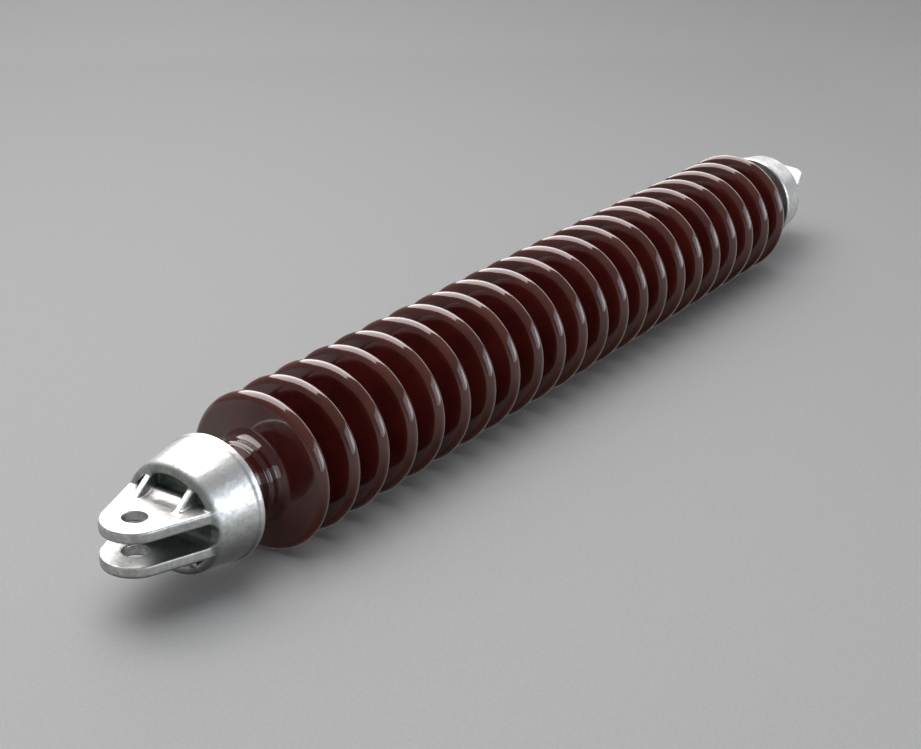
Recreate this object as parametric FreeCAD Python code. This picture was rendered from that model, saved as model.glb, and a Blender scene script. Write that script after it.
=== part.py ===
import FreeCAD, Part
import math
import os

os.makedirs("parts", exist_ok=True)

# Long-rod porcelain insulator with a clevis cap on each end.
# The rod lies along +X. The origin is the centre of the near clevis's pin hole, and both pin axes are along Z.
# Millimetres. Radii are from the rod's axis unless a comment says otherwise.

# Porcelain rod
shed_count = 22
shed_pitch = 45.5
shed_radius = 75.75
rim_round = 7.6           # radius of a shed's rounded rim
face_slope = 15.0         # degrees that a shed's weather face leans back from square
under_slope = 4.0         # degrees that its underside leans
face_fillet = 10.0        # root fillet on the weather face
under_fillet = 8.0        # root fillet on the underside
core_radius = 37.5
neck_step = 1.3           # how much thinner the plain neck beside a cap is than the core
bead_height = 0.8         # how far the round bead between neck and core stands above the core
bead_width = 7.4
bead_offset = 1.2         # from the bead to the start of the root fillet
first_rim_gap = 65.95     # near cap's mouth to the rim of the first shed
last_rim_gap = 50.95      # rim of the last shed to the far cap's mouth
head_length = 37.8        # how deep the rod's conical head reaches into a cap
head_step = 0.4           # how much thicker the head is than the neck where it starts
head_taper = 3.4          # how much its radius grows towards its end
head_chamfer = 1.5

# Clevis cap, measured from the pin's axis towards the rod
pin_hole_radius = 10.8
ear_tip_radius = 30.2
ear_thickness = 10.8
ear_edge_round = 1.8
ear_root_margin = 1.4     # how far an ear's side stands out past the barrel where it joins it
slot_width = 21.4
slot_depth = 47.0
slot_corner = 8.0
barrel_front = 43.0
front_round = 7.6
lip_height = 1.5          # raised lip round the mouth
lip_width = 6.5
lip_round = 1.6
hood_wall = 11.6          # wall of the hood over each ear
hood_flare = 3.0          # rounding inside the hood's front edge
pocket_depth = 9.0        # middle pocket, behind the hood's front
side_hood_wall = 8.6      # the same three sizes for the two side pockets
side_hood_flare = 2.2
side_pocket_depth = 6.0
sill_height = 4.0         # the middle pocket's floor above the ear
sill_reach = 12.0         # how far in front of the hood its hollow ramp starts
rib_gap = 40.0            # between the two gusset ribs over an ear
rib_thickness = 6.4
rib_reach = 20.0          # how far a rib's foot runs in front of the hood
rib_rise = 15.5           # how high a rib climbs above the ear

# Inside the cap
floor_wall = 6.0          # between the pockets and the cavity
slot_wall = 11.0          # between the slot and the cavity
front_wall = 8.6          # barrel's wall at the cavity's floor
mouth_wall = 9.2          # barrel's wall at the cavity's widest place
floor_cement = 4.0        # cement round the head at the cavity's floor
mouth_cement = 12.4       # cement round the head at the cavity's widest place
collar_length = 7.0       # narrow collar at the mouth
collar_slope = 4.0        # length of the step from the collar to the cavity
groove_count = 2          # ring grooves that key the cement
groove_depth = 1.6
groove_width = 5.0
cushion_thickness = 3.0
coat_thickness = 0.6      # bitumen coat on the porcelain head
seal_length = 4.0         # sealing ring in the mouth
seal_width = 9.8

# Cutting tools reach this far past what they cut, and pieces that are joined overlap by as much
overrun = 1.0
same_place = 1e-4         # distances below this count as nothing

# Derived radii
neck_radius = core_radius - neck_step
bead_radius = core_radius + bead_height
head_start_radius = neck_radius + head_step
head_end_radius = head_start_radius + head_taper
mouth_bore_radius = neck_radius + seal_width
cavity_radius = head_start_radius + mouth_cement
cavity_floor_radius = head_end_radius + floor_cement
barrel_front_radius = cavity_floor_radius + front_wall
barrel_rear_radius = cavity_radius + mouth_wall
lip_radius = barrel_rear_radius + lip_height

# Derived places
slot_half = slot_width / 2
ear_outer = slot_half + ear_thickness
cavity_floor = max(barrel_front + pocket_depth + floor_wall, slot_depth + slot_wall)
head_end = cavity_floor + cushion_thickness
mouth_reach = head_end + head_length
seal_start = mouth_reach - seal_length
first_rim = mouth_reach + first_rim_gap
last_rim = first_rim + (shed_count - 1) * shed_pitch
coupling_length = last_rim + last_rim_gap + mouth_reach


def vec(x, r):
    """A point of a turned outline: place along the rod and radius."""
    return FreeCAD.Vector(x, 0, r)


def turned(start, steps):
    """Solid of revolution about X. A step is a point, or a pair of a point on the arc and the arc's end."""
    edges = []
    here = vec(*start)
    for step in steps + [start]:
        if isinstance(step[0], tuple):
            through, end = vec(*step[0]), vec(*step[1])
            edges.append(Part.Arc(here, through, end).toShape())
        else:
            end = vec(*step)
            if here.distanceToPoint(end) < same_place:
                continue
            edges.append(Part.LineSegment(here, end).toShape())
        here = end
    face = Part.Face(Part.Wire(edges))
    return face.revolve(FreeCAD.Vector(0, 0, 0), FreeCAD.Vector(1, 0, 0), 360)


def quarter(corner, start, end):
    """Arc step that rounds a square corner, tangent to both sides at start and end."""
    centre = (start[0] + end[0] - corner[0], start[1] + end[1] - corner[1])
    towards = (corner[0] - centre[0], corner[1] - centre[1])
    span = math.hypot(*towards)
    radius = math.hypot(start[0] - centre[0], start[1] - centre[1])
    middle = (centre[0] + towards[0] / span * radius, centre[1] + towards[1] / span * radius)
    return (middle, end)


def box(low, high):
    size = [high[i] - low[i] for i in range(3)]
    return Part.makeBox(size[0], size[1], size[2], FreeCAD.Vector(*low))


def shed_side(rim_x, normal, fillet):
    """Where one face of a shed leaves its rim, meets its root fillet, and where the fillet meets the core."""
    centre_r = shed_radius - rim_round
    tangent = (rim_x + rim_round * normal[0], centre_r + rim_round * normal[1])
    fillet_r = core_radius + fillet
    fillet_x = tangent[0] + (fillet - (fillet_r - tangent[1]) * normal[1]) / normal[0]
    on_face = (fillet_x - fillet * normal[0], fillet_r - fillet * normal[1])
    on_core = (fillet_x, core_radius)
    lean = (-normal[0], -normal[1] - 1)
    length = math.hypot(*lean)
    middle = (fillet_x + fillet * lean[0] / length, fillet_r + fillet * lean[1] / length)
    return tangent, on_face, middle, on_core


def shed_steps(rim_x):
    """Outline of one shed, from the core in front of it to the core behind it."""
    face, under = math.radians(face_slope), math.radians(under_slope)
    front = shed_side(rim_x, (-math.cos(face), math.sin(face)), face_fillet)
    back = shed_side(rim_x, (math.cos(under), -math.sin(under)), under_fillet)
    rim_top = (rim_x, shed_radius)
    return [front[3], (front[2], front[1]), front[0], (rim_top, back[0]), back[1], (back[2], back[3])]


def bead_points(edge_x, away):
    """Edge on the core, top and foot on the neck of the bead beside an end shed. away points towards the cap."""
    foot_x = edge_x + away * bead_width
    return (edge_x, core_radius), ((edge_x + foot_x) / 2, bead_radius), (foot_x, neck_radius)


def porcelain_body():
    """The fired rod: two conical heads, two necks and all the sheds in one piece."""
    near_end, far_end = head_end, coupling_length - head_end
    first, last = shed_steps(first_rim), shed_steps(last_rim)
    near_edge, near_top, near_foot = bead_points(first[0][0] - bead_offset, -1)
    far_edge, far_top, far_foot = bead_points(last[-1][1][0] + bead_offset, 1)
    steps = [
        (near_end, head_end_radius - head_chamfer),
        (near_end + head_chamfer, head_end_radius),
        (seal_start, head_start_radius),
        (seal_start, neck_radius),
        near_foot,
        (near_top, near_edge),
    ]
    for index in range(shed_count):
        steps += shed_steps(first_rim + index * shed_pitch)
    steps += [
        far_edge,
        (far_top, far_foot),
        (coupling_length - seal_start, neck_radius),
        (coupling_length - seal_start, head_start_radius),
        (far_end - head_chamfer, head_end_radius),
        (far_end, head_end_radius - head_chamfer),
        (far_end, 0),
    ]
    return turned((near_end, 0), steps)


def barrel():
    """The cap's turned outside: tapered barrel with a rounded front edge and a raised lip at the mouth."""
    front = (barrel_front, barrel_front_radius)
    lip_start = mouth_reach - lip_width
    outer = (mouth_reach, lip_radius)
    return turned(
        (barrel_front, 0),
        [
            (barrel_front, barrel_front_radius - front_round),
            quarter(front, (barrel_front, barrel_front_radius - front_round),
                    (barrel_front + front_round, barrel_front_radius)),
            (lip_start - lip_height, barrel_rear_radius),
            (lip_start, lip_radius),
            (mouth_reach - lip_round, lip_radius),
            quarter(outer, (mouth_reach - lip_round, lip_radius), (mouth_reach, lip_radius - lip_round)),
            (mouth_reach, 0),
        ],
    )


def ear_block():
    """Both ears as one slab, before the slot is cut: a round tip with tangent sides that widen to the barrel.

    Behind the barrel's front the sides turn in, so that they end inside the barrel's wall.
    """
    root_x = barrel_front + front_round + overrun
    root_half = math.sqrt(barrel_front_radius ** 2 - ear_outer ** 2) + ear_root_margin
    distance = math.hypot(root_x, root_half)
    angle = math.atan2(root_half, root_x) + math.acos(ear_tip_radius / distance)
    touch = (ear_tip_radius * math.cos(angle), ear_tip_radius * math.sin(angle))
    low = -ear_outer
    corners = [FreeCAD.Vector(x, y, low) for x, y in
               ((cavity_floor, front_wall - root_half), (root_x, -root_half), (touch[0], -touch[1]))]
    tip = FreeCAD.Vector(-ear_tip_radius, 0, low)
    mirrored = [FreeCAD.Vector(p.x, -p.y, low) for p in reversed(corners)]
    edges = [Part.LineSegment(corners[0], corners[1]).toShape(),
             Part.LineSegment(corners[1], corners[2]).toShape(),
             Part.Arc(corners[2], tip, mirrored[0]).toShape(),
             Part.LineSegment(mirrored[0], mirrored[1]).toShape(),
             Part.LineSegment(mirrored[1], mirrored[2]).toShape(),
             Part.LineSegment(mirrored[2], corners[0]).toShape()]
    slab = Part.Face(Part.Wire(edges)).extrude(FreeCAD.Vector(0, 0, 2 * ear_outer))
    outline = [edge for edge in slab.Edges
               if abs(abs(edge.CenterOfMass.z) - ear_outer) < same_place
               and edge.CenterOfMass.x < barrel_front]
    return slab.makeFillet(ear_edge_round, outline)


def slot():
    """The clevis's slot, with its closed end rounded."""
    front = -ear_tip_radius - overrun
    cutter = box((front, -lip_radius, -slot_half), (slot_depth, lip_radius, slot_half))
    ends = [edge for edge in cutter.Edges
            if abs(edge.CenterOfMass.x - slot_depth) < same_place
            and abs(abs(edge.CenterOfMass.z) - slot_half) < same_place]
    return cutter.makeFillet(slot_corner, ends)


def hood_bore(depth, wall, flare):
    """The round space under a hood, with a flared front edge."""
    front, back = barrel_front, barrel_front + depth
    radius = barrel_front_radius - wall
    wide = radius + flare
    return turned(
        (front - overrun, 0),
        [
            (front - overrun, wide),
            (front, wide),
            quarter((front, radius), (front, wide), (front + flare, radius)),
            (back, radius),
            (back, 0),
        ],
    )


def pockets(side):
    """The three pockets over one ear: a deep one between the ribs and a shallow one outside each."""
    half = rib_gap / 2
    outside = half + rib_thickness
    front, back = barrel_front - overrun, cavity_floor
    middle = box((front, -half, ear_outer + sill_height), (back, half, lip_radius))
    cutter = middle.common(hood_bore(pocket_depth, hood_wall, hood_flare))
    side_bore = hood_bore(side_pocket_depth, side_hood_wall, side_hood_flare)
    for low_y, high_y in ((-lip_radius, -outside), (outside, lip_radius)):
        outboard = box((front, low_y, ear_outer), (back, high_y, lip_radius))
        cutter = cutter.fuse(outboard.common(side_bore))
    return on_side(cutter, side)


def ramp_wire():
    """Side view of the middle pocket's sill: a hollow ramp up from the ear, then level into the hood."""
    foot_z, top_z = ear_outer - overrun, ear_outer + sill_height
    start_x, back_x = barrel_front - sill_reach, cavity_floor
    radius = (sill_reach ** 2 + sill_height ** 2) / (2 * sill_height)
    angle = math.asin(sill_reach / radius) / 2
    start = FreeCAD.Vector(start_x, 0, ear_outer)
    through = FreeCAD.Vector(start_x + radius * math.sin(angle), 0, ear_outer + radius * (1 - math.cos(angle)))
    top = FreeCAD.Vector(barrel_front, 0, top_z)
    rest = [top, FreeCAD.Vector(back_x, 0, top_z), FreeCAD.Vector(back_x, 0, foot_z),
            FreeCAD.Vector(start_x, 0, foot_z), start]
    straight = [Part.LineSegment(rest[i], rest[i + 1]).toShape() for i in range(len(rest) - 1)]
    return Part.Wire([Part.Arc(start, through, top).toShape()] + straight)


def gussets(side):
    """Two ribs from the hood down to one ear, and the hollow ramp between them."""
    half = rib_gap / 2
    foot_z, top_z = ear_outer - overrun, ear_outer + rib_rise
    tip_x, back_x = barrel_front - rib_reach, cavity_floor
    ramp = Part.Face(ramp_wire()).extrude(FreeCAD.Vector(0, rib_gap, 0))
    ramp.translate(FreeCAD.Vector(0, -half, 0))
    outline = [(tip_x, foot_z), (tip_x, ear_outer), (barrel_front, top_z), (back_x, top_z), (back_x, foot_z)]
    pieces = ramp
    for start_y in (-half - rib_thickness, half):
        points = [FreeCAD.Vector(x, start_y, z) for x, z in outline + outline[:1]]
        rib = Part.Face(Part.makePolygon(points)).extrude(FreeCAD.Vector(0, rib_thickness, 0))
        pieces = pieces.fuse(rib)
    return on_side(pieces, side)


def on_side(shape, side):
    """The shape over the upper ear, or turned about the rod's axis to the lower one."""
    if side < 0:
        shape = shape.copy()
        shape.rotate(FreeCAD.Vector(0, 0, 0), FreeCAD.Vector(1, 0, 0), 180)
    return shape


def cavity():
    """The space inside the cap, which narrows towards its floor, with a collar at the mouth and ring grooves."""
    collar_end = mouth_reach - collar_length
    wide = collar_end - collar_slope
    fall = (cavity_radius - cavity_floor_radius) / (wide - cavity_floor)
    spacing = (wide - cavity_floor) / (groove_count + 1)
    half = groove_width / 2
    steps = [(cavity_floor, cavity_floor_radius)]
    for number in range(1, groove_count + 1):
        middle = cavity_floor + number * spacing
        radius = cavity_floor_radius + fall * (middle - cavity_floor)
        steps += [(middle - half, radius - fall * half), (middle - half + groove_depth, radius + groove_depth),
                  (middle + half - groove_depth, radius + groove_depth), (middle + half, radius + fall * half)]
    steps += [(wide, cavity_radius), (collar_end, mouth_bore_radius), (mouth_reach, mouth_bore_radius),
              (mouth_reach, 0)]
    return turned((cavity_floor, 0), steps)


def clevis_cap():
    """The cast cap: barrel, two ears with a pin hole, hoods with pockets and ribs, and the cavity for the head."""
    solid = barrel().fuse(ear_block())
    for side in (1, -1):
        solid = solid.cut(pockets(side)).fuse(gussets(side))
    hole_low = -ear_outer - overrun
    hole = Part.makeCylinder(pin_hole_radius, -2 * hole_low, FreeCAD.Vector(0, 0, hole_low))
    solid = solid.cut(slot()).cut(hole).cut(cavity())
    return solid.removeSplitter()


def head_shape(skin):
    """The head's outside from the cushion to the seal, grown outwards by a skin."""
    return turned(
        (head_end, 0),
        [
            (head_end, head_end_radius - head_chamfer + skin),
            (head_end + head_chamfer, head_end_radius + skin),
            (seal_start, head_start_radius + skin),
            (seal_start, 0),
        ],
    )


def slice_of_cavity(low_x, high_x):
    """The cavity between two places along the rod."""
    return cavity().common(box((low_x, -lip_radius, -lip_radius), (high_x, lip_radius, lip_radius)))


def head_coat():
    """The bitumen coat between the porcelain head and the cement."""
    return head_shape(coat_thickness).cut(head_shape(0))


def cement():
    """The cement that fills the cavity round the coated head, from the cushion to the sealing ring."""
    return slice_of_cavity(head_end, seal_start).cut(head_shape(coat_thickness))


def cushion():
    """The soft disc between the head's end and the cavity's floor."""
    return slice_of_cavity(cavity_floor, head_end)


def seal():
    """The ring that closes the mouth between the neck and the collar."""
    return turned((seal_start, neck_radius), [(seal_start, mouth_bore_radius), (mouth_reach, mouth_bore_radius),
                                              (mouth_reach, neck_radius)])


def at_far_end(shape):
    """The same piece on the other end, turned half a turn about the upright line through the rod's middle."""
    turned_piece = shape.copy()
    turned_piece.rotate(FreeCAD.Vector(coupling_length / 2, 0, 0), FreeCAD.Vector(0, 0, 1), 180)
    return turned_piece


end_pieces = {
    "clevis_cap": clevis_cap(),
    "cement": cement(),
    "end_cushion": cushion(),
    "head_coat": head_coat(),
    "mouth_seal": seal(),
}
parts = {"porcelain_rod": porcelain_body()}
for name, shape in end_pieces.items():
    parts["near_" + name] = shape
    parts["far_" + name] = at_far_end(shape)

for name, shape in parts.items():
    print(name, "solids", len(shape.Solids), "valid", shape.isValid(), "volume", round(shape.Volume))
    shape.exportStep("parts/" + name + ".step")
print("coupling length", round(coupling_length, 2))
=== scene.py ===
import cmath
import math
import bmesh
import bpy
from bpy.props import FloatProperty, FloatVectorProperty, IntProperty, PointerProperty
from mathutils import Matrix, Quaternion, Vector, noise


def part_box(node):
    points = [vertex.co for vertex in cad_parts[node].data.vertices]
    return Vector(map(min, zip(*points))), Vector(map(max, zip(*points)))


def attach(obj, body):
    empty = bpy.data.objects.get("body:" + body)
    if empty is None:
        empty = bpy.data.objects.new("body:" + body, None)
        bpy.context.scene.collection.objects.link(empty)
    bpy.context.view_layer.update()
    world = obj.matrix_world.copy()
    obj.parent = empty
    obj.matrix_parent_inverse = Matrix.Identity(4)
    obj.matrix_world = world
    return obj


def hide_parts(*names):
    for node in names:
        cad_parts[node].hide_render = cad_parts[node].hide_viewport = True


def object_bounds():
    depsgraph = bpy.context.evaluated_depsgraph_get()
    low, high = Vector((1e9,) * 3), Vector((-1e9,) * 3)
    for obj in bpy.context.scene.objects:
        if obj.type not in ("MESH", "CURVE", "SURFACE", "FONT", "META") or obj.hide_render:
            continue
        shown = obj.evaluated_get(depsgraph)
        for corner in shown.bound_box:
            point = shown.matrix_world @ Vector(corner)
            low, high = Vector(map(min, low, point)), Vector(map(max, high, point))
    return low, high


bl_info = {
    "name": "Long-rod insulator",
    "version": (1, 0, 0),
    "blender": (4, 5, 0),
    "location": "View3D > Sidebar > Insulator",
    "description": "Builds a long-rod porcelain insulator with two clevis caps around its CAD frame",
    "category": "Object",
}

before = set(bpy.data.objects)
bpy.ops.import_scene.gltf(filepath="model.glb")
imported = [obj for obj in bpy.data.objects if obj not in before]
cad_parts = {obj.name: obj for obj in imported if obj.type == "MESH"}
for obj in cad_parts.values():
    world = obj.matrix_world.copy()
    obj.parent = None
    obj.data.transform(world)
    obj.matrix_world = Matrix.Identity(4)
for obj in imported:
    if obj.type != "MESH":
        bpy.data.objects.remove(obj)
cad_low, cad_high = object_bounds()
rod_low, rod_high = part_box("porcelain_rod")
cap_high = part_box("near_clevis_cap")[1]

MM = 0.001
ROD_LENGTH = rod_low.x + rod_high.x          # from pin hole to pin hole, with the rod in the middle
WELD = 0.01 * MM                             # points nearer than this become one
SENSOR_WIDTH = 36                            # of the camera, in millimetres as its lens is

# steps round each stretch of the rod's outline
FILLET_STEPS = 6
RIM_STEPS = 10
BEAD_STEPS = 8

# where painted shade lies on a cap (the darkening in the slot, the pockets, on the hood's front and beside
# the lip stands in for shade), each as the unshaded limit and the fully shaded one
BETWEEN_EARS = (11.6 * MM, 10.4 * MM)        # height from the slot's middle
INSIDE_HOOD = (45 * MM, 41 * MM)             # distance from the axis
PAST_TIP = (-22 * MM, 14 * MM)               # this and those below, along the cap from its pin hole
SHORT_OF_SLOT_END = (46 * MM, 36 * MM)
BEHIND_FRONT = (43 * MM, 48 * MM)
HOOD_FRONT_START = (41 * MM, 43 * MM)
HOOD_FRONT_END = (52 * MM, 45 * MM)
LIP_START = (89.5 * MM, 91.5 * MM)
LIP_END = (93 * MM, 91.5 * MM)
# painted shade: how strongly the hood's front and the shadow groove at the lip are darkened
HOOD_PAINTED_SHADE = 0.5                             # shares of the full painted shade
LIP_PAINTED_SHADE = 0.35


# ---------------------------------------------------------------- sizes and colours

class RodSizes(bpy.types.PropertyGroup):
    """The porcelain rod."""

    shed_count: IntProperty(name="Sheds", description="How many sheds the rod has", default=22, min=2)
    shed_pitch: FloatProperty(name="Shed pitch", description="From one rim to the next", default=45.5 * MM,
                              unit="LENGTH")
    shed_radius: FloatProperty(name="Shed radius", description="From the axis to the top of a rim",
                               default=rod_high.z, unit="LENGTH")
    first_rim: FloatProperty(name="First rim", description="From the near pin hole to the first rim",
                             default=164.75 * MM, unit="LENGTH")
    rim_round: FloatProperty(name="Rim rounding", description="Radius of a shed's rounded rim",
                             default=7.6 * MM, unit="LENGTH")
    face_slope: FloatProperty(name="Face slope", description="How far a weather face leans back",
                              default=math.radians(15), unit="ROTATION")
    under_slope: FloatProperty(name="Underside slope", description="How far an underside leans",
                               default=math.radians(4), unit="ROTATION")
    face_fillet: FloatProperty(name="Face fillet", description="Root fillet on the weather face",
                               default=10 * MM, unit="LENGTH")
    under_fillet: FloatProperty(name="Underside fillet", description="Root fillet on the underside",
                                default=8 * MM, unit="LENGTH")
    core_radius: FloatProperty(name="Core radius", description="Between the sheds", default=37.5 * MM,
                               unit="LENGTH")
    neck_radius: FloatProperty(name="Neck radius", description="Between a cap and the end shed",
                               default=36.2 * MM, unit="LENGTH")
    bead_radius: FloatProperty(name="Bead radius", description="Top of the raised bead on the neck",
                               default=38.3 * MM, unit="LENGTH")
    bead_width: FloatProperty(name="Bead width", description="Length of the round bead", default=7.4 * MM,
                              unit="LENGTH")
    bead_offset: FloatProperty(name="Bead offset", description="From the bead to the root fillet",
                               default=1.2 * MM, unit="LENGTH")
    head_radius: FloatProperty(name="Head radius", description="Widest place of the head inside a cap",
                               default=40.0 * MM, unit="LENGTH")
    seal_length: FloatProperty(name="Seal length", description="Sealing ring in the cap's mouth",
                               default=4.0 * MM, unit="LENGTH")
    turns: IntProperty(name="Spin steps", description="Steps round the rod", default=128, min=16)
    glaze: FloatVectorProperty(name="Glaze", description="Colour of the thick glaze", subtype="COLOR",
                               default=(0.054, 0.0070, 0.0058), min=0, max=1)
    thin_glaze: FloatVectorProperty(name="Thin glaze", description="Colour where it runs thin on a rim",
                                    subtype="COLOR", default=(0.105, 0.024, 0.012), min=0, max=1)


class CapSizes(bpy.types.PropertyGroup):
    """The two cast clevis caps."""

    grid: FloatProperty(name="Mesh size", description="Edge length of the cast surface's mesh",
                        default=1.0 * MM, unit="LENGTH")
    rounding_passes: IntProperty(name="Rounding", description="Passes that round the cast edges", default=3,
                                 min=0)
    waviness: FloatProperty(name="Waviness", description="Depth of the casting's gentle hollows",
                            default=0.22 * MM, unit="LENGTH")
    hollow_size: FloatProperty(name="Hollow size", description="Width of those hollows", default=11 * MM,
                               unit="LENGTH")
    zinc: FloatVectorProperty(name="Zinc", description="Colour of the bright zinc", subtype="COLOR",
                              default=(0.72, 0.72, 0.71), min=0, max=1)
    dull_zinc: FloatVectorProperty(name="Dull zinc", description="Colour of its duller patches",
                                   subtype="COLOR", default=(0.42, 0.43, 0.415), min=0, max=1)
    # painted shade: the dark greenish colour that the slot, the pockets, the hood's front and the lip's step
    # are darkened to, standing in for shade there
    painted_shade: FloatVectorProperty(name="Painted shade", description="Colour deep in the pockets and the slot",
                               subtype="COLOR", default=(0.066, 0.100, 0.080), min=0, max=1)


class FillColours(bpy.types.PropertyGroup):
    """What holds the rod in its caps."""

    cement: FloatVectorProperty(name="Cement", description="Colour of the cement", subtype="COLOR",
                                default=(0.36, 0.35, 0.32), min=0, max=1)
    cork: FloatVectorProperty(name="Cork", description="Colour of the end cushion", subtype="COLOR",
                              default=(0.42, 0.25, 0.12), min=0, max=1)
    bitumen: FloatVectorProperty(name="Bitumen", description="Colour of the head's coat", subtype="COLOR",
                                 default=(0.012, 0.011, 0.010), min=0, max=1)
    sealant: FloatVectorProperty(name="Sealant", description="Colour of the ring in the mouth",
                                 subtype="COLOR", default=(0.10, 0.10, 0.105), min=0, max=1)


class StageSizes(bpy.types.PropertyGroup):
    """Floor and camera."""

    floor_size: FloatProperty(name="Floor", description="Side of the floor", default=40.0, unit="LENGTH")
    floor_colour: FloatVectorProperty(name="Floor colour", description="Colour of the floor",
                                      subtype="COLOR", default=(0.51, 0.51, 0.512), min=0, max=1)
    camera_place: FloatVectorProperty(name="Camera place", description="Where the camera stands",
                                      default=(-1.01577, -0.95962, 0.75399), subtype="TRANSLATION")
    camera_heading: FloatProperty(name="Camera heading", description="From +X towards +Y",
                                  default=math.radians(32.490), unit="ROTATION")
    camera_dip: FloatProperty(name="Camera dip", description="How far the camera looks down",
                              default=math.radians(23.325), unit="ROTATION")
    camera_roll: FloatProperty(name="Camera roll", description="How far the camera is turned on its axis",
                               default=math.radians(2.5935), unit="ROTATION")
    lens: FloatProperty(name="Lens", description="Focal length in millimetres", default=73.306)


SIZE_GROUPS = {
    "insulator_rod": RodSizes,
    "insulator_caps": CapSizes,
    "insulator_fill": FillColours,
    "insulator_stage": StageSizes,
}


# ---------------------------------------------------------------- node groups and materials

def new_group(name, inputs, outputs):
    """A shader node group with sockets, and its input and output nodes."""
    group = bpy.data.node_groups.new(name, "ShaderNodeTree")
    for socket_name, default in inputs:
        socket = group.interface.new_socket(name=socket_name, in_out="INPUT", socket_type="NodeSocketFloat")
        socket.default_value = default
    for socket_name, kind in outputs:
        group.interface.new_socket(name=socket_name, in_out="OUTPUT", socket_type=kind)
    return group, group.nodes.new("NodeGroupInput"), group.nodes.new("NodeGroupOutput")


def object_point(tree):
    return tree.nodes.new("ShaderNodeTexCoord").outputs["Object"]


def feed(tree, socket, value):
    """Give a socket its value, which is another socket or a constant."""
    if isinstance(value, bpy.types.NodeSocket):
        tree.links.new(value, socket)
    else:
        socket.default_value = value


def math_node(tree, operation, first, second=0.0):
    """A Math node. Each side is a socket or a number."""
    node = tree.nodes.new("ShaderNodeMath")
    node.operation = operation
    for socket, value in zip(node.inputs, (first, second)):
        feed(tree, socket, value)
    return node.outputs["Value"]


def graded(tree, mask, start, gain):
    """start where the mask is 0, and gain more where it is 1."""
    return math_node(tree, "ADD", math_node(tree, "MULTIPLY", mask, gain), start)


def map_range(tree, value, low, high):
    """A smooth step from 0 at low to 1 at high."""
    node = tree.nodes.new("ShaderNodeMapRange")
    node.interpolation_type = "SMOOTHSTEP"
    for name, given in (("Value", value), ("From Min", low), ("From Max", high)):
        feed(tree, node.inputs[name], given)
    return node.outputs["Result"]


def noise_value(tree, scale, detail=3.0):
    """Noise over Object coordinates. scale is a number per metre or a socket."""
    node = tree.nodes.new("ShaderNodeTexNoise")
    tree.links.new(object_point(tree), node.inputs["Vector"])
    node.inputs["Detail"].default_value = detail
    feed(tree, node.inputs["Scale"], scale)
    return node.outputs["Fac"]


def mix_colour(tree, factor, first, second):
    """A colour between two, each a socket or a colour. The Mix node's colour sockets share their names."""
    node = tree.nodes.new("ShaderNodeMix")
    node.data_type = "RGBA"
    tree.links.new(factor, node.inputs[0])
    for socket, colour in ((node.inputs[6], first), (node.inputs[7], second)):
        feed(tree, socket, colour if isinstance(colour, bpy.types.NodeSocket) else (*colour, 1.0))
    return node.outputs[2]


def mottle_group():
    """Soft patches: a mask of noise, with its own scale and contrast."""
    group, inlet, outlet = new_group("Mottle", [("Scale", 40.0), ("Spread", 0.2)],
                                     [("Mask", "NodeSocketFloat")])
    middle, spread = 0.5, inlet.outputs["Spread"]
    mask = map_range(group, noise_value(group, inlet.outputs["Scale"]),
                     math_node(group, "SUBTRACT", middle, spread), math_node(group, "ADD", spread, middle))
    group.links.new(mask, outlet.inputs["Mask"])
    return group


def grain_group():
    """Fine unevenness of a surface: a normal from noise at two sizes."""
    group, inlet, outlet = new_group("Grain", [("Coarse", 60.0), ("Fine", 400.0), ("Depth", 0.0001)],
                                     [("Normal", "NodeSocketVector")])
    fine_share = 0.35
    coarse = noise_value(group, inlet.outputs["Coarse"], detail=2.0)
    fine = noise_value(group, inlet.outputs["Fine"], detail=2.0)
    height = math_node(group, "ADD", coarse, math_node(group, "MULTIPLY", fine, fine_share))
    bump = group.nodes.new("ShaderNodeBump")
    group.links.new(math_node(group, "MULTIPLY", height, inlet.outputs["Depth"]), bump.inputs["Height"])
    bump.inputs["Distance"].default_value = 1.0
    group.links.new(bump.outputs["Normal"], outlet.inputs["Normal"])
    return group


def round_rod_group():
    """Where a point is on the rod: its distance from the axis, and from the middle along the rod."""
    group, _, outlet = new_group("Round the rod", [],
                                 [("Radius", "NodeSocketFloat"), ("Along", "NodeSocketFloat")])
    split = group.nodes.new("ShaderNodeSeparateXYZ")
    group.links.new(object_point(group), split.inputs["Vector"])
    across = [math_node(group, "MULTIPLY", split.outputs[axis], split.outputs[axis]) for axis in ("Y", "Z")]
    radius = math_node(group, "SQRT", math_node(group, "ADD", *across))
    along = math_node(group, "ABSOLUTE", math_node(group, "SUBTRACT", split.outputs["X"], ROD_LENGTH / 2))
    group.links.new(radius, outlet.inputs["Radius"])
    group.links.new(along, outlet.inputs["Along"])
    return group


GROUP_MAKERS = {"Mottle": mottle_group, "Grain": grain_group, "Round the rod": round_rod_group}


def place_group(tree, name, **values):
    """A shared group in a material, made the first time it is asked for."""
    node = tree.nodes.new("ShaderNodeGroup")
    node.node_tree = bpy.data.node_groups.get(name) or GROUP_MAKERS[name]()
    for socket_name, value in values.items():
        node.inputs[socket_name].default_value = value
    return node.outputs


def new_material(name, **settings):
    """A material with one Principled BSDF, and the node tree to add to."""
    material = bpy.data.materials.new(name)
    material.use_nodes = True
    tree = material.node_tree
    shader = tree.nodes["Principled BSDF"]
    for socket_name, value in settings.items():
        shader.inputs[socket_name.replace("_", " ")].default_value = value
    return material, tree, shader


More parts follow.
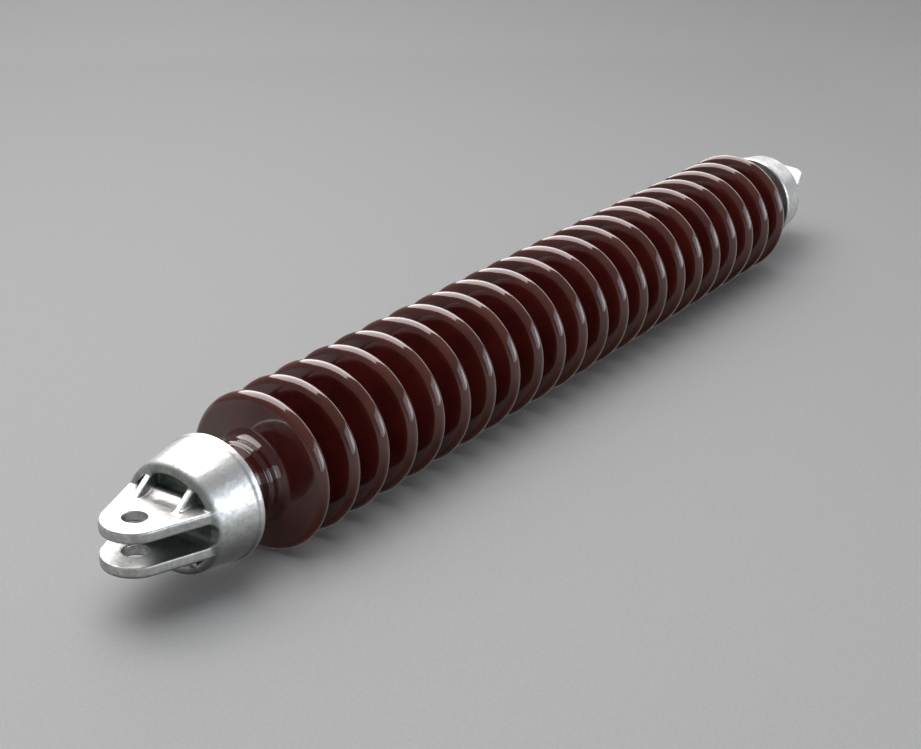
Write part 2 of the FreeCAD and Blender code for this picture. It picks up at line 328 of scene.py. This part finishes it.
def glaze_material(sizes):
    """Dark maroon glaze: deep and glossy, thinner and browner on the rims."""
    material, tree, shader = new_material("maroon_glaze", IOR=1.5, Coat_Weight=1.0, Coat_Roughness=0.035,
                                          Coat_IOR=1.5, Specular_IOR_Level=0.2)
    place = place_group(tree, "Round the rod")
    patches = place_group(tree, "Mottle", Scale=28.0, Spread=0.22)["Mask"]
    specks = place_group(tree, "Mottle", Scale=700.0, Spread=0.12)["Mask"]
    rim_band, darkest, lightest = 1.6, 0.8, 1.25
    rim = map_range(tree, place["Radius"], sizes.shed_radius - rim_band * sizes.rim_round, sizes.shed_radius)
    thin = math_node(tree, "MULTIPLY", rim, graded(tree, patches, start=0.4, gain=0.5))
    deep = mix_colour(tree, patches, [darkest * c for c in sizes.glaze], [lightest * c for c in sizes.glaze])
    tree.links.new(mix_colour(tree, thin, deep, sizes.thin_glaze), shader.inputs["Base Color"])
    rough = graded(tree, specks, start=graded(tree, patches, start=0.10, gain=0.06), gain=0.05)
    tree.links.new(rough, shader.inputs["Roughness"])
    peel = place_group(tree, "Grain", Coarse=75.0, Fine=260.0, Depth=0.00016)
    tree.links.new(peel["Normal"], shader.inputs["Normal"])
    return material


def half_of_both(tree, first, second):
    """The mean of two masks."""
    return math_node(tree, "MULTIPLY", math_node(tree, "ADD", first, second), 0.5)


def within(tree, *limits):
    """A mask of where every value is past its unshaded limit, and 1 where all are at their fully shaded one:
    it places the caps' painted shade.
    """
    mask = 1.0
    for value, (clean, painted_shade_mask) in limits:
        mask = math_node(tree, "MULTIPLY", map_range(tree, value, clean, painted_shade_mask), mask)
    return mask


def zinc_material(sizes):
    """Hot-dip zinc on cast iron: bright and satin, with dull patches, and painted shade in the deep places:
    the slot, the pockets, the hood's front and the lip's step are darkened to a greenish grey.
    """
    material, tree, shader = new_material("galvanised_casting", Metallic=1.0)
    place = place_group(tree, "Round the rod")
    broad = place_group(tree, "Mottle", Scale=45.0, Spread=0.16)["Mask"]
    small = place_group(tree, "Mottle", Scale=230.0, Spread=0.2)["Mask"]
    patches = half_of_both(tree, broad, small)
    bright = mix_colour(tree, patches, sizes.zinc, sizes.dull_zinc)
    split = tree.nodes.new("ShaderNodeSeparateXYZ")
    tree.links.new(object_point(tree), split.inputs["Vector"])
    height = math_node(tree, "ABSOLUTE", split.outputs["Z"])
    from_pin = math_node(tree, "SUBTRACT", ROD_LENGTH / 2, place["Along"])
    # painted shade: these masks darken the slot, the pockets, the hood's front and a shadow groove beside the
    # lip, where shade falls
    in_slot = within(tree, (from_pin, PAST_TIP), (from_pin, SHORT_OF_SLOT_END), (height, BETWEEN_EARS))
    in_pocket = within(tree, (from_pin, BEHIND_FRONT), (place["Radius"], INSIDE_HOOD))
    hood_front = within(tree, (from_pin, HOOD_FRONT_START), (from_pin, HOOD_FRONT_END))
    beside_lip = within(tree, (from_pin, LIP_START), (from_pin, LIP_END))
    outer = math_node(tree, "MAXIMUM", math_node(tree, "MULTIPLY", hood_front, HOOD_PAINTED_SHADE),
                      math_node(tree, "MULTIPLY", beside_lip, LIP_PAINTED_SHADE))
    deep = math_node(tree, "MAXIMUM", math_node(tree, "MAXIMUM", in_pocket, in_slot), outer)
    # painted shade: the masked places take the dark greenish colour and a rougher finish
    painted_shade_mask = math_node(tree, "MULTIPLY", deep, graded(tree, broad, start=0.84, gain=0.14))
    tree.links.new(mix_colour(tree, painted_shade_mask, bright, sizes.painted_shade), shader.inputs["Base Color"])
    rough = graded(tree, painted_shade_mask, start=graded(tree, patches, start=0.30, gain=0.16), gain=0.25)
    tree.links.new(rough, shader.inputs["Roughness"])
    cast = place_group(tree, "Grain", Coarse=170.0, Fine=900.0, Depth=0.00028)
    tree.links.new(cast["Normal"], shader.inputs["Normal"])
    return material


def crumbly_material(name, colour, scale, roughness, depth, shade=0.55):
    """A dull material with patches of its colour and a shade of it."""
    material, tree, shader = new_material(name)
    patches = place_group(tree, "Mottle", Scale=scale, Spread=0.2)["Mask"]
    grains = place_group(tree, "Mottle", Scale=scale * 6, Spread=0.12)["Mask"]
    both = half_of_both(tree, patches, grains)
    tree.links.new(mix_colour(tree, both, colour, [shade * c for c in colour]), shader.inputs["Base Color"])
    tree.links.new(graded(tree, grains, start=roughness, gain=0.15), shader.inputs["Roughness"])
    grain = place_group(tree, "Grain", Coarse=scale * 2, Fine=scale * 9, Depth=depth)
    tree.links.new(grain["Normal"], shader.inputs["Normal"])
    return material


# ---------------------------------------------------------------- shapes

def piece_from_bmesh(bm, name, material, slot, *nodes):
    """A smooth-shaded object of the finished bmesh, which stands for CAD nodes and rides on the body."""
    mesh = bpy.data.meshes.new(name)
    bm.to_mesh(mesh)
    bm.free()
    mesh.shade_smooth()
    piece = bpy.data.objects.new(name, mesh)
    bpy.context.scene.collection.objects.link(piece)
    mesh.materials.append(material)
    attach(piece, "root")
    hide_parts(*nodes)
    return piece


class Outline:
    """An outline in the plane of the rod's axis and +Z, drawn vertex by vertex."""

    def __init__(self, x, radius):
        self.bm = bmesh.new()
        self.last = self.bm.verts.new((x, 0, radius))

    def line_to(self, x, radius):
        vert = self.bm.verts.new((x, 0, radius))
        self.bm.edges.new((self.last, vert))
        self.last = vert

    def firm_line_to(self, x, radius, margin=0.9 * MM):
        """A line with a short stretch at each end, which keeps its shading straight."""
        start, end = self.last.co.copy(), Vector((x, 0, radius))
        step = (end - start).normalized() * margin
        for point in (start + step, end - step, end):
            self.line_to(point.x, point.z)

    def arc(self, centre_x, centre_radius, angle, steps):
        """A round stretch about a centre. A positive angle turns from +Z towards +X."""
        made = bmesh.ops.spin(self.bm, geom=[self.last], cent=(centre_x, 0, centre_radius), axis=(0, 1, 0),
                              angle=angle, steps=steps, use_merge=False, use_duplicate=False)
        self.last = next(item for item in made["geom_last"] if isinstance(item, bmesh.types.BMVert))

    def arc_through(self, through, end, steps):
        """A round stretch from here through one point to another."""
        here = self.last.co
        a, b, c = (complex(here.x, here.z), complex(*through), complex(*end))
        slant = (c - a) / (b - a)
        centre = (b - a) * (slant - abs(slant) ** 2) / (2j * slant.imag) + a
        turn = -cmath.phase((c - centre) / (a - centre))
        self.arc(centre.real, centre.imag, turn, steps)

    def spun(self, turns):
        """The solid of revolution, with its seam and poles closed."""
        bm = self.bm
        bmesh.ops.spin(bm, geom=bm.verts[:] + bm.edges[:], cent=(0, 0, 0), axis=(1, 0, 0),
                       angle=2 * math.pi, steps=turns, use_merge=True, use_duplicate=False)
        bmesh.ops.remove_doubles(bm, verts=bm.verts[:], dist=WELD)
        bmesh.ops.recalc_face_normals(bm, faces=bm.faces[:])
        return bm


def root_centre(sizes, rim_x, normal, fillet):
    """Centre of the fillet between a shed's face and the core. normal is the face's, along and outwards."""
    tangent_x = rim_x + sizes.rim_round * normal[0]
    tangent_r = sizes.shed_radius - sizes.rim_round + sizes.rim_round * normal[1]
    centre_r = sizes.core_radius + fillet
    return tangent_x + (fillet - (centre_r - tangent_r) * normal[1]) / normal[0], centre_r


def face_normal(sizes):
    return -math.cos(sizes.face_slope), math.sin(sizes.face_slope)


def under_normal(sizes):
    return math.cos(sizes.under_slope), -math.sin(sizes.under_slope)


def draw_shed(outline, sizes, rim_x):
    """One shed, from the start of its weather face's root fillet to the end of its underside's."""
    face, under = face_normal(sizes), under_normal(sizes)
    rim_centre = sizes.shed_radius - sizes.rim_round
    front_x, front_r = root_centre(sizes, rim_x, face, sizes.face_fillet)
    back_x, back_r = root_centre(sizes, rim_x, under, sizes.under_fillet)
    outline.line_to(front_x, sizes.core_radius)
    outline.arc(front_x, front_r, sizes.face_slope - math.pi / 2, FILLET_STEPS)
    outline.firm_line_to(rim_x + sizes.rim_round * face[0], rim_centre + sizes.rim_round * face[1])
    outline.arc(rim_x, rim_centre, math.pi - sizes.face_slope + sizes.under_slope, RIM_STEPS)
    outline.firm_line_to(back_x - sizes.under_fillet * under[0], back_r - sizes.under_fillet * under[1])
    outline.arc(back_x, back_r, -math.pi / 2 - sizes.under_slope, FILLET_STEPS)


def bead_arc(sizes, edge_x, away):
    """The round bead beside an end shed: its foot on the neck, its top and its edge on the core."""
    foot = (edge_x + away * sizes.bead_width, sizes.neck_radius)
    top = (edge_x + away * sizes.bead_width / 2, sizes.bead_radius)
    return foot, top, (edge_x, sizes.core_radius)


def porcelain_rod(sizes):
    """The rod's outline from one end to the other, spun into a closed solid."""
    near_end, far_end = rod_low.x, rod_high.x
    seal_near = cap_high.x - sizes.seal_length
    chamfer, head_step = 1.5 * MM, 0.4 * MM
    last_rim = sizes.first_rim + (sizes.shed_count - 1) * sizes.shed_pitch
    first_root = root_centre(sizes, sizes.first_rim, face_normal(sizes), sizes.face_fillet)[0]
    last_root = root_centre(sizes, last_rim, under_normal(sizes), sizes.under_fillet)[0]
    near_foot, near_top, near_edge = bead_arc(sizes, first_root - sizes.bead_offset, -1)
    far_foot, far_top, far_edge = bead_arc(sizes, last_root + sizes.bead_offset, 1)
    head = [(near_end, sizes.head_radius - chamfer), (near_end + chamfer, sizes.head_radius),
            (seal_near, sizes.neck_radius + head_step), (seal_near, sizes.neck_radius)]
    outline = Outline(near_end, 0)
    for x, radius in head:
        outline.line_to(x, radius)
    outline.firm_line_to(*near_foot)
    outline.arc_through(near_top, near_edge, BEAD_STEPS)
    for index in range(sizes.shed_count):
        draw_shed(outline, sizes, sizes.first_rim + index * sizes.shed_pitch)
    outline.line_to(*far_edge)
    outline.arc_through(far_top, far_foot, BEAD_STEPS)
    outline.firm_line_to(ROD_LENGTH - seal_near, sizes.neck_radius)
    for x, radius in head[2::-1]:
        outline.line_to(ROD_LENGTH - x, radius)
    outline.line_to(far_end, 0)
    return outline.spun(sizes.turns)


def cast_surface(node, sizes):
    """The cap's CAD shape as an even mesh, with the soft edges and slight waviness of a casting."""
    bm = bmesh.new()
    bm.from_mesh(node.data)
    bmesh.ops.remove_doubles(bm, verts=bm.verts[:], dist=WELD)
    mesh = bpy.data.meshes.new("casting_core")
    bm.to_mesh(mesh)
    bm.free()
    core = bpy.data.objects.new("casting_core", mesh)
    bpy.context.scene.collection.objects.link(core)
    remesh = core.modifiers.new("even", "REMESH")
    remesh.mode = "VOXEL"
    remesh.voxel_size = sizes.grid
    shape = core.evaluated_get(bpy.context.evaluated_depsgraph_get())
    bm = bmesh.new()
    bm.from_mesh(shape.to_mesh())
    shape.to_mesh_clear()
    bpy.data.objects.remove(core)
    bpy.data.meshes.remove(mesh)
    for _ in range(sizes.rounding_passes):
        bmesh.ops.smooth_vert(bm, verts=bm.verts[:], factor=0.5, use_axis_x=True, use_axis_y=True,
                              use_axis_z=True)
    bm.normal_update()
    for vert in bm.verts:
        sink = 0.5 + 0.5 * noise.noise(vert.co / sizes.hollow_size)      # from 0 to 1
        vert.co -= vert.normal * sink * sizes.waviness
    return bm


# ---------------------------------------------------------------- operators

class INSULATOR_OT_rod(bpy.types.Operator):
    """Build the glazed porcelain rod with its sheds"""

    bl_idname = "insulator.rod"
    bl_label = "Porcelain rod"

    def execute(self, context):
        sizes = context.scene.insulator_rod
        piece_from_bmesh(porcelain_rod(sizes), "glazed_rod", glaze_material(sizes), "glazed_porcelain",
                         "porcelain_rod")
        return {"FINISHED"}


class INSULATOR_OT_caps(bpy.types.Operator):
    """Build the two cast clevis caps"""

    bl_idname = "insulator.caps"
    bl_label = "Clevis caps"

    def execute(self, context):
        sizes = context.scene.insulator_caps
        material = zinc_material(sizes)
        bm = cast_surface(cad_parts["near_clevis_cap"], sizes)
        far_bm = bm.copy()
        middle = Vector((ROD_LENGTH / 2, 0, 0))
        bmesh.ops.rotate(far_bm, verts=far_bm.verts[:], cent=middle, matrix=Matrix.Rotation(math.pi, 3, "Z"))
        for end, shape in (("near", bm), ("far", far_bm)):
            piece_from_bmesh(shape, end + "_cast_cap", material, "galvanised_iron", end + "_clevis_cap")
        return {"FINISHED"}


class INSULATOR_OT_fill(bpy.types.Operator):
    """Give the cement, cushions, coats and seals inside the caps their finish"""

    bl_idname = "insulator.fill"
    bl_label = "Cement and seals"

    def execute(self, context):
        colours = context.scene.insulator_fill
        finishes = {
            "cement": crumbly_material("set_cement", colours.cement, scale=60.0, roughness=0.8, depth=0.0008),
            "end_cushion": crumbly_material("pressed_cork", colours.cork, scale=150.0, roughness=0.75,
                                            depth=0.0007, shade=0.35),
            "head_coat": crumbly_material("bitumen_coat", colours.bitumen, scale=90.0, roughness=0.35,
                                          depth=0.0002),
            "mouth_seal": crumbly_material("sealing_compound", colours.sealant, scale=80.0, roughness=0.5,
                                           depth=0.0003, shade=0.75),
        }
        for piece, material in finishes.items():
            for end in ("near_", "far_"):
                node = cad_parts[end + piece]
                node.data.materials.clear()
                node.data.materials.append(material)
        return {"FINISHED"}


def soft_box(name, place, aim, size, glow, colour, spin=0.0, on_matt=False):
    """A soft box of even brightness, which isn't seen itself.

    It shows only in glossy surfaces, or with on_matt lights only matt ones.
    """
    data = bpy.data.lights.new(name, "AREA")
    data.shape = "RECTANGLE"
    data.size, data.size_y = size
    data.energy = glow * math.pi * size[0] * size[1]
    data.color = colour
    light = bpy.data.objects.new(name, data)
    bpy.context.scene.collection.objects.link(light)
    light.location = place
    light.rotation_mode = "QUATERNION"
    towards = (Vector(aim) - Vector(place)).to_track_quat("-Z", "Y")
    light.rotation_quaternion = towards @ Quaternion((0, 0, 1), spin)
    light.visible_camera = False
    light.visible_diffuse = on_matt
    light.visible_glossy = not on_matt


def studio_world(sky, ground, shadow):
    """Light from all round: sky above the horizon, and below it a ground that is darker straight down."""
    world = bpy.data.worlds.new("studio")
    world.use_nodes = True
    tree = world.node_tree
    split = tree.nodes.new("ShaderNodeSeparateXYZ")
    tree.links.new(tree.nodes.new("ShaderNodeTexCoord").outputs["Generated"], split.inputs["Vector"])
    horizon, straight_down, outward = 0.04, -0.9, -0.1
    above = map_range(tree, split.outputs["Z"], -horizon, horizon)
    outwards = map_range(tree, split.outputs["Z"], straight_down, outward)
    below = mix_colour(tree, outwards, shadow, ground)
    tree.links.new(mix_colour(tree, above, below, sky), tree.nodes["Background"].inputs["Color"])
    return world


class INSULATOR_OT_stage(bpy.types.Operator):
    """Build the floor, the soft lights and the camera"""

    bl_idname = "insulator.stage"
    bl_label = "Floor, lights and camera"

    def execute(self, context):
        sizes = context.scene.insulator_stage
        centre = (cad_low + cad_high) / 2
        bm = bmesh.new()
        bmesh.ops.create_grid(bm, x_segments=1, y_segments=1, size=sizes.floor_size / 2)
        bmesh.ops.translate(bm, verts=bm.verts[:], vec=(centre.x, centre.y, cad_low.z))
        mesh = bpy.data.meshes.new("floor")
        bm.to_mesh(mesh)
        bm.free()
        floor = bpy.data.objects.new("floor", mesh)
        context.scene.collection.objects.link(floor)
        floor.visible_glossy = False
        material, tree, shader = new_material("pale_floor", Roughness=0.7, Specular_IOR_Level=0.1)
        specks = place_group(tree, "Mottle", Scale=420.0, Spread=0.2)["Mask"]
        speck_shade = 0.93
        tree.links.new(mix_colour(tree, specks, [speck_shade * c for c in sizes.floor_colour],
                                  sizes.floor_colour), shader.inputs["Base Color"])
        mesh.materials.append(material)

        warm, cool, plain = (1.0, 0.955, 0.945), (0.84, 0.90, 1.0), (1.0, 1.0, 1.0)
        near_end, middle = (0.2, 0, 0), (0.5, 0, 0)
        soft_box("key_box", place=(-0.2, 0.35, 2.6), aim=near_end, size=(3.2, 2.4), glow=2.5, colour=plain,
                 on_matt=True)
        soft_box("top_box", place=(1.65, 1.97, 3.33), aim=middle, size=(7.6, 4.8), glow=4.8, colour=warm,
                 spin=math.radians(-140))
        soft_box("side_box", place=(1.1, -2.95, 0.95), aim=middle, size=(5.6, 1.8), glow=1.6, colour=cool)
        soft_box("side_core", place=(2.1, -2.5, 0.68), aim=middle, size=(2.6, 1.0), glow=2.7, colour=cool)
        soft_box("far_box", place=(3.54, -0.15, 0.98), aim=middle, size=(1.6, 0.9), glow=1.4, colour=plain)

        context.scene.world = studio_world(sky=(0.27, 0.275, 0.285), ground=(0.58, 0.58, 0.58),
                                           shadow=(0.06, 0.06, 0.06))
        context.scene.view_settings.view_transform = "Standard"

        data = bpy.data.cameras.new("camera")
        data.sensor_width = SENSOR_WIDTH
        data.lens = sizes.lens
        camera = bpy.data.objects.new("camera", data)
        context.scene.collection.objects.link(camera)
        flat = math.cos(sizes.camera_dip)
        forward = Vector((math.cos(sizes.camera_heading) * flat, math.sin(sizes.camera_heading) * flat,
                          -math.sin(sizes.camera_dip)))
        turn = forward.to_track_quat("-Z", "Y").to_matrix() @ Matrix.Rotation(sizes.camera_roll, 3, "Z")
        camera.matrix_world = Matrix.Translation(Vector(sizes.camera_place)) @ turn.to_4x4()
        context.scene.camera = camera
        return {"FINISHED"}


OPERATORS = (INSULATOR_OT_rod, INSULATOR_OT_caps, INSULATOR_OT_fill, INSULATOR_OT_stage)


class INSULATOR_PT_sidebar(bpy.types.Panel):
    """The insulator's sizes and the operators that build it"""

    bl_label = "Insulator"
    bl_idname = "INSULATOR_PT_sidebar"
    bl_space_type = "VIEW_3D"
    bl_region_type = "UI"
    bl_category = "Insulator"

    def draw(self, context):
        for group_name, operator in zip(SIZE_GROUPS, OPERATORS):
            sizes = getattr(context.scene, group_name)
            box = self.layout.box()
            for name in sizes.__annotations__:
                box.prop(sizes, name)
            box.operator(operator.bl_idname)


def register():
    for cls in (*SIZE_GROUPS.values(), *OPERATORS, INSULATOR_PT_sidebar):
        bpy.utils.register_class(cls)
    for name, cls in SIZE_GROUPS.items():
        setattr(bpy.types.Scene, name, PointerProperty(type=cls))


def unregister():
    for name in SIZE_GROUPS:
        delattr(bpy.types.Scene, name)
    for cls in reversed((*SIZE_GROUPS.values(), *OPERATORS, INSULATOR_PT_sidebar)):
        bpy.utils.unregister_class(cls)


def main():
    register()
    bpy.ops.insulator.rod()
    bpy.ops.insulator.caps()
    bpy.ops.insulator.fill()
    bpy.ops.insulator.stage()


if __name__ == "__main__":
    main()
